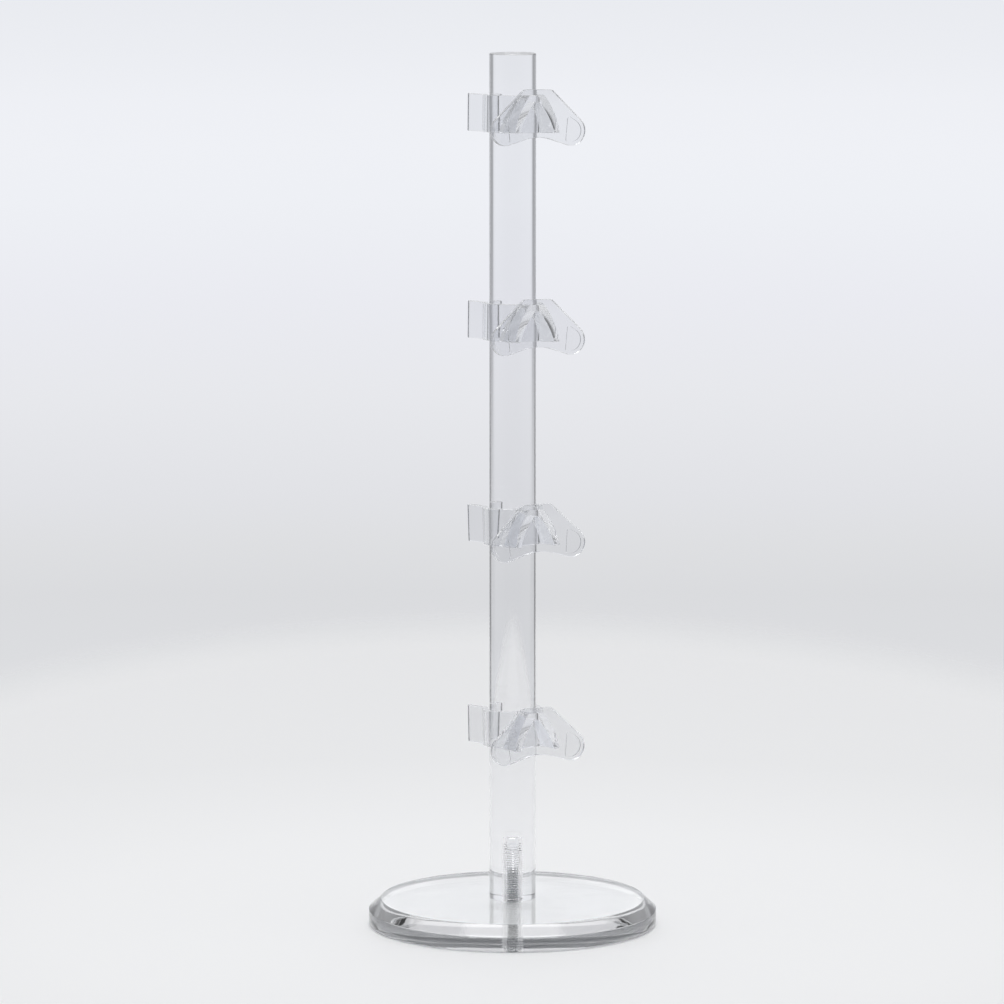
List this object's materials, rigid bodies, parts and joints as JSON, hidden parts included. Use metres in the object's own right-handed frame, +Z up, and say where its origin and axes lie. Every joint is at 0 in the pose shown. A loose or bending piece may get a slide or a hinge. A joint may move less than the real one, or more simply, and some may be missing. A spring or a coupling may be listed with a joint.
{
  "type": "eyeglass display rack",
  "caption": "Upright clear acrylic rod on a round bevelled base, with swivelling nose-shaped clips that hold glasses by the bridge.",
  "frame": {"origin": "centre of the base's underside, on the rod's axis, at the level of the surface that the rack stands on", "axes": "+Z up along the rod; -Y is the front, and the clips face 25 degrees round from -Y towards +X"},
  "size_m": [0.1556, 0.1556, 0.471],
  "materials": {
    "clear_acrylic_base": "clear cast acrylic, polished",
    "clear_acrylic_rod": "clear extruded acrylic, polished",
    "clear_clip": "clear injection-moulded plastic, glossy",
    "bright_steel": "bright zinc-plated steel"
  },
  "bodies": {
    "stand": {"base_disc": "clear_acrylic_base", "display_rod": "clear_acrylic_rod", "rod_screw": "bright_steel"},
    "clip_1": {"nose_clip_1": "clear_clip"},
    "clip_2": {"nose_clip_2": "clear_clip"},
    "clip_3": {"nose_clip_3": "clear_clip"},
    "clip_4": {"nose_clip_4": "clear_clip"}
  },
  "joints": [
    {"name": "clip_1_swivel", "type": "hinge", "parent": "stand", "child": "clip_1", "pos_m": [0, 0, 0.4391], "axis": [0, 0, 1], "continuous": true},
    {"name": "clip_2_swivel", "type": "hinge", "parent": "stand", "child": "clip_2", "pos_m": [0, 0, 0.3278], "axis": [0, 0, 1], "continuous": true},
    {"name": "clip_3_swivel", "type": "hinge", "parent": "stand", "child": "clip_3", "pos_m": [0, 0, 0.2181], "axis": [0, 0, 1], "continuous": true},
    {"name": "clip_4_swivel", "type": "hinge", "parent": "stand", "child": "clip_4", "pos_m": [0, 0, 0.1081], "axis": [0, 0, 1], "continuous": true}
  ]
}
